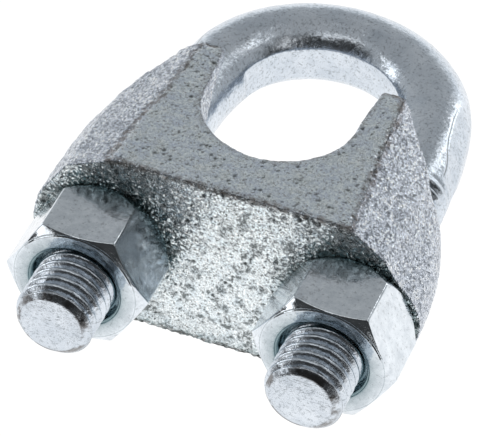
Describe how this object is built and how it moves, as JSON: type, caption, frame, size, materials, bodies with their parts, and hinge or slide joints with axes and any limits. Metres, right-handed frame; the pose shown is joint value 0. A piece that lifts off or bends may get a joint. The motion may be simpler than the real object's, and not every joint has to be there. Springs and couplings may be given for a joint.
{
  "type": "wire rope clip",
  "caption": "Wire rope clip: cast saddle with a half-round rope seat, a threaded U-bolt through it, and hexagon nuts that draw the bow down on the rope.",
  "frame": {"origin": "on the rope seat's axis, half way through the saddle's thickness", "axes": "+Z along the rope seat's axis, +X across the two legs, +Y along the legs from the nuts towards the bow; the clip lies on the saddle's lower side face"},
  "size_m": [0.0693, 0.093, 0.035],
  "materials": {
    "cast_zinc": "rough malleable casting, bright zinc plated",
    "bar_zinc": "glossy bright zinc plating over drawn bar",
    "nut_zinc": "glossy bright zinc plating"
  },
  "bodies": {
    "saddle": {"saddle": "cast_zinc"},
    "u_bolt": {"u_bolt": "bar_zinc"},
    "nut_left": {"nut_left": "nut_zinc"},
    "nut_right": {"nut_right": "nut_zinc"}
  },
  "joints": [
    {"name": "u_bolt_slide", "type": "slide", "parent": "saddle", "child": "u_bolt", "axis": [0, 1, 0], "range_m": [-0.017, 0.009]},
    {"name": "nut_left_turn", "type": "hinge", "parent": "saddle", "child": "nut_left", "pos_m": [-0.0217, -0.0302, 0], "axis": [0, 1, 0], "range_deg": [-1625, 3065]},
    {"name": "nut_right_turn", "type": "hinge", "parent": "saddle", "child": "nut_right", "pos_m": [0.0217, -0.0302, 0], "axis": [0, 1, 0], "range_deg": [-1625, 3065]}
  ],
  "couplings": [
    {"joint": "nut_left_turn", "follows": "u_bolt_slide", "rad_per_m": -3141.6},
    {"joint": "nut_right_turn", "follows": "u_bolt_slide", "rad_per_m": -3141.6}
  ]
}
